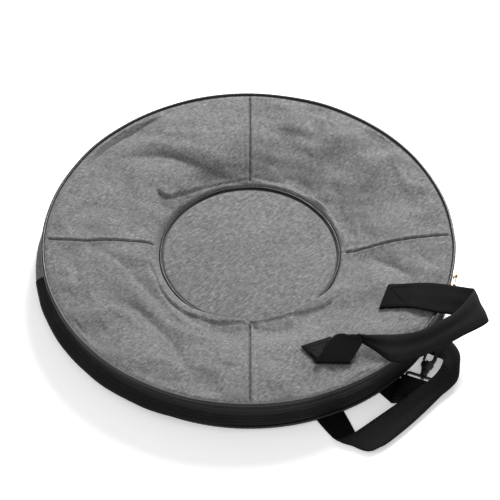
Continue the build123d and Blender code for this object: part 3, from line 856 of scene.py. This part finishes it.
def rim_piping():
    """Satin piping between the lid and the side."""
    a = full_turn(900)
    arc = a * RIM_ARC
    radius = RIM_R + (0.5 * ripples(arc, a * 0, 120, 7, 12) + round_values(np.degrees(a), RIM_OUT)) * MM
    z = RIM_Z + 0.5 * MM * ripples(arc, a * 0, 160, 7, 13)
    crimp = CORD_R * (1 + 0.04 * np.sin(a * 560) + 0.03 * np.sin(a * 211))
    blend_lid(ring_cord("rim_piping_cord", a, radius, z, crimp, ["rim_piping_back", "rim_piping_front"]))


# ---- the sides ----------------------------------------------------------------------
# How far the slack side slumps outward below the zipper: (degrees, millimetres).
BULGE = [(0, 2.0), (8, 2.5), (60, 2.0), (95, 0.6), (128, 0.8), (142, 5.0), (155, 11.0), (175, 16.5),
         (190, 18.5), (207, 17.5), (225, 15.5), (240, 12.5), (256, 8.0), (272, 4.0), (290, 1.2), (310, 0.2),
         (350, 0.2)]
SLUMP_AT, SLUMP_WIDTH = 0.22, 0.21    # shares of the side's height where it slumps most, and how widely
SIDE_RIPPLES = [(0.5, 45, 9, 41), (0.2, 14, 12, 43)]


def height_share(height):
    """Share of the side's height, from its lower to its upper edge, at a height in millimetres."""
    return (height - WALL_LO / MM) / ((WALL_HI - WALL_LO) / MM)


def wall_out(angle, height):
    """How far the side stands outside its sewn circle, at degrees and a height in millimetres."""
    share = height_share(height)
    slump = np.exp(-((share - SLUMP_AT) / SLUMP_WIDTH) ** 2) * smooth_step(share, -0.02, 0.14)
    return round_values(angle, BULGE) * slump + round_values(angle, RIM_OUT) * np.clip(share, 0, 1) ** 6


def side_grid(first, last, low, high, steps, rows, lines=(), proud=0.0):
    """Outer face of a stretch of side wall; lines are heights in millimetres of sewn ridges."""
    heights = np.linspace(low / MM, high / MM, rows)
    aa, zz = np.meshgrid(np.linspace(first, last, steps), heights, indexing="ij")
    out = wall_out(aa, zz)
    calm = np.sin(pi * np.clip(height_share(zz), 0, 1)) ** 2
    arc = np.radians(aa) * CASE_R / MM
    loose = smooth_step(out, 1.0, 6.0)
    out = out + calm * ripple_sum(arc, zz * 2, SIDE_RIPPLES)
    out = out + calm * loose * 1.3 * ripples(arc, zz * 1.2, 70, 9, 45)
    for line in lines:
        out = out + 0.75 * np.exp(-((zz - line) / 0.8) ** 2)
    return around(CASE_R + (out + proud) * MM, np.radians(aa), zz * MM)


def side_wall(name, grid, thick, look, node_name, bend=False):
    """Piece of the side behind an outer face."""
    obj = fabric(name, grid, grid - grid_normals(grid) * thick, look, [node_name])
    if bend:
        blend_lid(obj)


def sides():
    """Grey gusset behind, black bands in front with the zipper between them, and the lower piping."""
    back = side_grid(ZIP_LAST + 0.1, 359.9 + ZIP_FIRST, WALL_LO, WALL_HI, 420, 30)
    side_wall("back_gusset", back, SIDE_T, OXFORD, "back_side_wall")
    ridges = [COIL_LO / MM - 12 - 4.2 * k for k in range(4)]
    lower = side_grid(ZIP_FIRST, ZIP_LAST, WALL_LO, COIL_LO - 7 * MM, 420, 56, ridges)
    side_wall("lower_band_cloth", lower, SIDE_T, BLACK, "lower_side_band")
    upper = side_grid(ZIP_FIRST, ZIP_LAST, COIL_HI + 6 * MM, WALL_HI, 420, 12)
    side_wall("upper_band_cloth", upper, SIDE_T, BLACK, "upper_side_band", bend=True)
    a = full_turn(800)
    ring_cord("base_piping_cord", a, CASE_R + 0.5 * MM, BASE_PIPING_Z, CORD_R * (1 + 0.04 * np.sin(a * 560)),
              ["bottom_piping"])


TOOTH_PITCH = 1.9 * MM
# The four corners of a tooth, along the coil and outward, and its sections: height from the zipper's
# line in millimetres, and depth.
TOOTH_CORNERS = [(-0.36, -1), (0.36, -1), (0.36, 1), (-0.36, 1)]
TOOTH_SECTIONS = [(-0.1, 0.4), (0.35, 1.1), (1.15, 1.1), (1.35, 0.7)]


def tooth(angle, way):
    """Corners of one tooth of the coil, up or down from the zipper's line, at an angle in radians."""
    stand = float(wall_out(np.array([np.degrees(angle)]), np.array([ZIP_Z / MM]))[0])
    out = np.array([cos(angle), sin(angle), 0])
    along = np.array([-sin(angle), cos(angle), 0])
    points = []
    for height, depth in TOOTH_SECTIONS:
        for a, b in TOOTH_CORNERS:
            point = out * (CASE_R + (stand + b * depth - 0.4) * MM) + along * a * 1.55 * MM
            points.append(point + np.array([0, 0, ZIP_Z + way * height * MM]))
    return points


def prism_faces(start, sections):
    """Faces of a closed four-sided prism whose corners begin at an index."""
    faces = [tuple(start + q for q in (3, 2, 1, 0))]
    for r in range(sections - 1):
        low = start + r * 4
        faces += [(low + q, low + (q + 1) % 4, low + 4 + (q + 1) % 4, low + 4 + q) for q in range(4)]
    faces.append(tuple(start + (sections - 1) * 4 + q for q in range(4)))
    return faces


def zipper():
    """Tapes on both sides of the zipper line and the two rows of coil."""
    for side, low, high in (("lower", COIL_LO - 8 * MM, COIL_LO + 0.2 * MM),
                            ("upper", COIL_HI - 0.2 * MM, COIL_HI + 8 * MM)):
        grid = side_grid(ZIP_FIRST, ZIP_LAST, low, high, 420, 10, proud=0.4)
        side_wall(f"{side}_tape_cloth", grid, TAPE_T, TAPE, f"{side}_zipper_tape", bend=side == "upper")
    count = int(radians(ZIP_LAST - ZIP_FIRST) * CASE_R / TOOTH_PITCH)
    for side, way, shift in (("lower", -1, 0), ("upper", 1, 0.5)):
        verts, faces = [], []
        for k in range(count):
            faces += prism_faces(len(verts), len(TOOTH_SECTIONS))
            verts += tooth(radians(ZIP_FIRST) + (k + shift) * TOOTH_PITCH / CASE_R, way)
        if way > 0:
            faces = [f[::-1] for f in faces]
        obj = piece(f"{side}_coil_teeth", verts, faces, [COIL], replaces=[f"{side}_zipper_coil"])
        if way > 0:
            blend_lid(obj)


def zipper_end_tabs():
    """Black tabs with a rounded end, sewn over both ends of the zipper."""
    low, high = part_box("zipper_end_tab_left")[0].z / MM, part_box("zipper_end_tab_left")[1].z / MM
    for side, centre, way in (("left", ZIP_FIRST, -1), ("right", ZIP_LAST, 1)):
        u, v = np.meshgrid(np.linspace(0, 1, 26), np.linspace(-1, 1, 16), indexing="ij")
        half = (high - low) / 2 * np.sqrt(1 - np.clip(1 - u / 0.45, 0, 1) ** 2 * 0.97)
        zz = (high + low) / 2 + v * half
        aa = centre + way * 3.0 * (1 - u * 1.35)
        radius = CASE_R + (wall_out(aa, zz) + 1.0 - 0.5 * np.abs(v) ** 6) * MM
        grid = around(radius, np.radians(aa), zz * MM)[::-way]
        side_wall(f"{side}_end_tab", grid, 1.3 * MM, BLACK, f"zipper_end_tab_{side}")


def inside_floor():
    """Padded floor of the case: foam with a lining drawn over it."""
    rim = INSIDE_R / MM
    radii = np.concatenate([np.linspace(0.5, rim - 14, 46), np.linspace(rim - 12, rim, 8)])
    rr, _, x, y = round_grid(radii, 200)
    swell = ripple_sum(x, y, [(0.5, 55, 9, 51), (0.2, 18, 12, 52)]) - 3.2 * smooth_step(rr, rim - 10, rim)
    middle = FLOOR_PAD_TOP - LINING_T
    for name, lo, hi, follow, look, node_name, fill in (
            ("floor_padding", FLOOR_PAD_LO, middle, 0, FOAM, "bottom_foam", 0.5),
            ("floor_lining", middle, FLOOR_PAD_TOP, 1, LINING, "bottom_lining", 0.2)):
        top = facing_up(x, y, hi / MM + swell)
        low = facing_up(x, y, lo / MM + swell * follow)
        obj = fabric(name, top, low, look, [node_name], closed=True)


# ---- webbing ------------------------------------------------------------------------
def ribbon(name, stations, count, body, nodes, ridges=0.0, thick=WEB_T, across_count=15):
    """Webbing through stations of (left edge, right edge) points in millimetres.

    The face on the side that the normal points to is the ribbed one, and the other is the twill.
    """
    left = spline([s[0] for s in stations], count) * MM
    right = spline([s[1] for s in stations], count) * MM
    across = np.linspace(0, 1, across_count)
    grid = left[:, None, :] * (1 - across[None, :, None]) + right[:, None, :] * across[None, :, None]
    normals = grid_normals(grid)
    edge = np.clip(np.abs(across * 2 - 1) - 0.9, 0, 1) / 0.1
    half = thick / 2 * np.sqrt(np.clip(1 - edge**2 * 0.85, 0.05, 1))[None, :, None]
    fade = np.sin(pi * np.linspace(0, 1, count))[:, None] ** 0.5
    lift = ridges * MM * (np.cos(across * 4 * pi + 0.6)[None, :] * -0.5 - 0.5) * fade
    mid = grid + normals * lift[..., None]
    verts, faces, top_count = thick_sheet(mid + normals * half, mid - normals * half)
    steps = np.linalg.norm(np.diff((left + right) / 2, axis=0), axis=1)
    length = np.concatenate([[0], np.cumsum(steps)])
    wide = np.linalg.norm(right - left, axis=1)
    weave = np.stack([np.repeat(length, across_count), (wide[:, None] * (across[None, :] - 0.5)).ravel()], 1)
    index = np.zeros(len(faces), int)
    index[:top_count] = 1
    return piece(name, verts, faces, [TWILL, RIBBED], index, np.vstack([weave, weave]), body, nodes)


STITCH_PITCH = 3.2    # millimetres from one stitch to the next
STITCH_R = 0.42       # millimetres, thread radius
STITCH_ENDS = (0.2, STITCH_PITCH * 0.78)      # where a stitch starts and ends within its pitch
STITCH_TAPER = np.array([0.25, 0.9, 1, 1, 0.9, 0.25])


def stitches(name, lines, body):
    """Separate stitches along lines of points in millimetres, as one piece."""
    verts, faces = [], []
    for line in lines:
        path = np.array(line, float)
        total = np.concatenate([[0], np.cumsum(np.linalg.norm(np.diff(path, axis=0), axis=1))])
        place = 0.0
        while place + STITCH_PITCH < total[-1]:
            first, last = (np.array([np.interp(place + d, total, path[:, i]) for i in range(3)])
                           for d in STITCH_ENDS)
            mid = (first + last) / 2 + np.array([0, 0, STITCH_R * 0.7])
            bow = spline([first, mid, last], len(STITCH_TAPER)) * MM
            v, f = swept_tube(bow, STITCH_TAPER * STITCH_R * MM, sides=6, closed=False)
            faces += [tuple(i + len(verts) for i in g) for g in f]
            verts += list(v)
            place += STITCH_PITCH
    return piece(name, verts, faces, [THREAD], body=body)


def box_x(corners, inset=7.0, lift=1.4):
    """Lines of a box with a cross in it, inside four corners in order round a patch, in millimetres."""
    corners = [Vector(c) for c in corners]
    middle = sum(corners, Vector()) / 4
    inner = []
    for corner in corners:
        away = corner - middle
        inner.append(tuple(middle + away * (1 - inset / away.length) + Vector((0, 0, lift))))
    a, b, c, d = inner
    return [(a, b), (b, c), (c, d), (d, a), (a, c), (b, d)]


def swing_blend(obj, joint_name, reach=20 * MM):
    """Webbing taken off its body, with its place baked into its mesh; the outward side of the handle's hinge
    line is worked out but not used.
    """
    pos, axis = Vector(JOINTS[joint_name]["pos_m"]), Vector(JOINTS[joint_name]["axis"])
    out = Vector((axis.y, -axis.x, 0)).normalized() * reach
    if out.dot(pos) < 0:
        out = -out
    obj.parent = None
    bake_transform(obj)


def on_cloth(x, y, lift):
    """Point at a lift above the lid's cloth, in millimetres."""
    return (x, y, float(lid_height(np.array([float(x)]), np.array([float(y)]))[0]) + lift)


# Stations of the upper handle beyond its sewn end: its two edges, in millimetres.
UPPER_RUN = [
    ((248, -86, 62.5), (237, -133, 61.5)),
    ((269, -89, 63), (256, -137, 60.5)),
    ((289, -93, 63), (273, -138, 58)),
    ((304, -95, 62), (296, -143, 54)),
    ((308, -97.5, 64), (323, -143, 54)),
    ((302, -110, 67), (322, -151, 57)),
    ((290, -127, 68), (308, -161, 57)),
    ((276, -143, 68), (290, -171, 56)),
    ((261, -154, 69), (273, -182, 55.5)),
    ((245, -165, 70), (255, -194, 55.5)),
    ((228, -175, 71), (237, -204, 56)),
    ((210, -180, 71.5), (219, -213, 57)),
    ((192, -182, 71.5), (201, -219, 58)),
    ((175, -182, 71.5), (184, -216, 59.5)),
    ((160, -182, 71), (166, -201, 61)),
    ((150, -182, 71.5), (150, -190, 62.5)),
    ((146, -183.5, 72), (131, -180, 65)),
    ((149, -189, 71), (120, -179, 67.5)),
    ((150, -195, 68.5), (112, -183, 67)),
    ((142, -208, 64.5), (102, -198, 64.8)),
    ((135, -219, 61.8), (89, -217, 61.8)),
    ((133, -221.5, 60), (86, -220.5, 60)),
    ((131, -216, 58.6), (89, -214, 58.6)),
    ((121, -196, 58), (80, -202, 58)),
]
UPPER_LIFT = 2.3    # millimetres from the sewn patch up to the webbing on it


def upper_handle():
    """Handle on the lid: sewn end, run to the right, fold, long return, roll, and a second sewn end."""
    a0 = (on_cloth(190.9, -83, 1.4), on_cloth(176.8, -121.9, 1.4))
    a1 = (on_cloth(226.5, -86.4, 1.6), on_cloth(220.2, -127, 1.6))
    middle = [tuple((p + q) / 2 for p, q in zip(a0[k], a1[k])) for k in (0, 1)]
    ribbon("upper_handle_side_patch", [a0, middle, a1], 26, "lid_flap", ["upper_handle_side_end"],
           thick=1.9 * MM)
    run = [
        ((191.5, -84, a0[0][2] + UPPER_LIFT), (178, -121.5, a0[1][2] + UPPER_LIFT)),
        ((209, -84.5, middle[0][2] + UPPER_LIFT), (198.5, -125, middle[1][2] + UPPER_LIFT)),
        ((228, -85, a1[0][2] + UPPER_LIFT + 0.6), (219, -129, a1[1][2] + UPPER_LIFT)),
    ] + UPPER_RUN
    loop = ribbon("upper_handle_webbing", run, 360, None, ["upper_handle_loop"], ridges=1.0)
    swing_blend(loop, "upper_handle_swing")
    lines = box_x([run[0][0], run[0][1], run[2][1], run[2][0]])
    seam = stitches("side_patch_stitching", lines, None)
    swing_blend(seam, "upper_handle_swing")
    front = [
        ((131, -217, 56.4), (86.5, -216, 56.6)),
        ((121, -198, 55.9), (78, -203, 56)),
        ((110, -174, 56.2), (68.5, -190.5, 56)),
    ]
    ribbon("upper_handle_front_patch", front, 30, "lid_flap", ["upper_handle_front_end"], thick=2.6 * MM)
    corners = [front[0][0], front[0][1], front[2][1], front[2][0]]
    stitches("front_patch_stitching", box_x(corners, lift=1.9), "lid_flap")


# Stations of the lower handle: its two edges, in millimetres.
LOWER_RUN = [
    ((92, -202, 1.4), (58, -222, 1.4)),
    ((120, -246, 1.4), (84, -264, 1.4)),
    ((132, -272, 1.8), (97, -284, 1.6)),
    ((143, -300, 2.4), (107, -298, 2.2)),
    ((153, -322, 3.2), (111, -304, 3.6)),
    ((160, -325, 5.8), (114, -307, 6.2)),
    ((171, -320, 6.8), (125, -305, 8.5)),
    ((181, -314, 7), (140, -297, 10)),
    ((196, -301, 7), (163, -280, 12)),
    ((215, -283, 7), (188, -261, 14)),
    ((231, -267, 7.5), (210, -244, 16)),
    ((245, -252, 8), (231, -228, 18)),
    ((259, -237, 9), (247, -214, 20)),
    ((272, -225, 10), (257, -202, 22)),
    ((282, -212, 12), (262, -191, 22)),
    ((286, -190, 14), (263, -182, 17)),
    ((287, -168, 13), (257, -174, 11)),
    ((278, -145, 9), (246, -163, 5)),
    ((262, -124, 3), (232, -148, 1.8)),
    ((236, -98, 1.4), (208, -124, 1.4)),
    ((220, -80, 1.4), (192, -106, 1.4)),
]


def lower_handle():
    """Handle from under the base: a leg, a fold, the outer run, and the leg that goes back under."""
    nodes = ["lower_handle_loop", "lower_handle_front_end", "lower_handle_side_end"]
    loop = ribbon("lower_handle_webbing", LOWER_RUN, 320, None, nodes, ridges=0.9)
    swing_blend(loop, "lower_handle_swing")


STRAP_TURN = 155    # degrees from the strap's front end round to its back end
STRAP_HALF = 19.0   # half of the webbing's width in millimetres
STRAP_FOLD = Vector((212, -240, 0))    # where the front end folds over, in millimetres
STRAP_HEADING = radians(68)            # which way it goes on from there
# Beyond the fold: distance along the heading and height, round the swivel eye and back, in millimetres.
STRAP_EYE = [(6, 4.6), (18, 4.2), (27, 3.4), (32.5, 3.0), (35.6, 5.6), (32.5, 8.6), (26, 8.4), (14, 7.4),
             (3, 7.0)]


def turned(point, degrees_round):
    """Point turned about the case's axis."""
    c, s = cos(radians(degrees_round)), sin(radians(degrees_round))
    return (point[0] * c - point[1] * s, point[0] * s + point[1] * c, point[2])


def shoulder_strap():
    """Webbing under the case that comes out front and back, folds over and doubles back round each eye."""
    along = STRAP_FOLD.normalized()
    way = Vector((cos(STRAP_HEADING), sin(STRAP_HEADING), 0))
    left_in = Vector((-along.y, along.x, 0)) * STRAP_HALF
    right_out = Vector((way.y, -way.x, 0)) * STRAP_HALF
    bisector = (along + way).normalized()
    crease = bisector * (STRAP_HALF / abs(along.x * bisector.y - along.y * bisector.x))
    if crease.dot(left_in) < 0:
        crease = -crease

    def pair(centre, side, z):
        """Two edge points either side of a centre, at a height."""
        up = Vector((0, 0, z))
        return tuple(centre + side + up), tuple(centre - side + up)

    stations = [pair(along * t, left_in, 1.3) for t in (0, 90, 180, 260, 296)]
    stations += [pair(STRAP_FOLD, crease, z) for z in (1.6, 4.0)]
    stations += [pair(STRAP_FOLD + way * step, right_out, z) for step, z in STRAP_EYE]
    sewn = [pair(STRAP_FOLD + way * step, right_out * 0.86, 8.4) for step in (9, 13)]
    bend = (180 - STRAP_TURN) / 2
    for spot, turn, middle in (("front", 0, -bend), ("back", STRAP_TURN, bend)):
        centre = [turned(p, middle) for p in stations[0]]
        here = [[turned(p, turn) for p in station] for station in [centre] + stations[1:]]
        nodes = ["shoulder_strap"] if spot == "front" else []
        ribbon(f"shoulder_strap_{spot}", here, 200, "base", nodes, thick=2.1 * MM)
        stitches(f"strap_stitching_{spot}", [[turned(p, turn) for p in line] for line in sewn], "base")


COLLAR_FROM, COLLAR_LENGTH = -4.5, 14.5    # millimetres along the swivel's axis
COLLAR_ENDS = (0.004, 0.996)               # just short of where it would close to a point


def hook_collars():
    """Ribbed plastic collar round the barrel of each swivel hook."""
    share = np.linspace(*COLLAR_ENDS, 44)
    near_end = np.abs(2 * share - 1)
    ribs = 1 - 0.07 * np.clip(np.sin(share * pi * 9), 0, None) ** 2
    wide = (6.2 + 2.9 * smooth_step(share, 0.1, 0.6)) * np.sqrt(1 - near_end**7) * ribs
    high = (5.2 - 0.9 * smooth_step(share, 0.3, 1.0)) * np.sqrt(1 - near_end**6) * ribs
    for spot in ("front", "back"):
        joint = JOINTS[f"hook_{spot}_swivel"]
        along = np.array(Vector(joint["axis"]).normalized())
        path = np.array(joint["pos_m"]) + along * (COLLAR_FROM + COLLAR_LENGTH * share)[:, None] * MM
        verts, faces = swept_tube(path, wide * MM, 28, closed=False, upright=high * MM)
        piece(f"hook_collar_{spot}", verts, faces, [PLASTIC], body=f"hook_{spot}")


def metal_and_plastic():
    """Finish of the CAD nodes that stay as they are."""
    finishes = {"bottom_panel": OXFORD}
    for spot in "ab":
        finishes[f"zipper_slider_{spot}"] = finishes[f"zipper_pull_{spot}"] = GOLD
    for spot in ("front", "back"):
        for name in ("snap_hook", "hook_gate", "swivel_eye", "d_ring"):
            finishes[f"{name}_{spot}"] = PLASTIC
        finishes[f"d_ring_tab_{spot}"] = BLACK
    for name, look in finishes.items():
        looks = frame["nodes"][name].data.materials
        looks.clear()
        looks.append(look)


# ---- light and camera ---------------------------------------------------------------
FLOOR_HALF = 6.0
WORLD_LIGHT = 0.38
# Name, place in metres, diameter in metres and watts; all three face the case.
LIGHTS = [("key", (0.72, 1.8, 1.44), 1.3, 114),
          ("fill", (-1.6, -0.6, 1.9), 1.8, 14),
          ("front", (0.6, -2.2, 1.6), 1.4, 9)]
CAMERA_AIM = Vector((0.0005, -0.0067, 0.040))
CAMERA_ELEVATION = radians(49.47)
CAMERA_DISTANCE = 2.6
CAMERA_LENS = 132.5
CAMERA_SENSOR = 36


def face(obj, place, back):
    """Place a light or the camera, looking against a direction."""
    obj.location = place
    obj.rotation_mode = "QUATERNION"
    obj.rotation_quaternion = (-back).to_track_quat("-Z", "Y")
    bpy.context.scene.collection.objects.link(obj)


def studio():
    """Pale floor, soft light from above and behind to the right, and the camera."""
    corners = [(x * FLOOR_HALF, y * FLOOR_HALF, 0) for x, y in ((-1, -1), (1, -1), (1, 1), (-1, 1))]
    piece("floor", corners, [(0, 1, 2, 3)], [floor_paint()], body=None)
    scene = bpy.context.scene
    scene.view_settings.view_transform = "Standard"
    scene.world = bpy.data.worlds.new("studio")
    scene.world.use_nodes = True
    background = scene.world.node_tree.nodes["Background"]
    background.inputs["Color"].default_value = (1, 1, 1, 1)
    background.inputs["Strength"].default_value = WORLD_LIGHT
    for name, place, size, power in LIGHTS:
        light = bpy.data.lights.new(name, "AREA")
        light.shape = "DISK"
        light.size = size
        light.energy = power
        face(bpy.data.objects.new(name, light), place, Vector(place))
    camera = bpy.data.cameras.new("camera")
    camera.sensor_width = CAMERA_SENSOR
    camera.lens = CAMERA_LENS
    camera.clip_start, camera.clip_end = 0.1, 20
    back = Vector((0, -cos(CAMERA_ELEVATION), sin(CAMERA_ELEVATION)))
    scene.camera = bpy.data.objects.new("camera", camera)
    face(scene.camera, CAMERA_AIM + back * CAMERA_DISTANCE, back)


lid_panels()
lid_inside()
centre_disc()
rim_piping()
sides()
zipper()
zipper_end_tabs()
inside_floor()
upper_handle()
lower_handle()
shoulder_strap()
hook_collars()
metal_and_plastic()
studio()
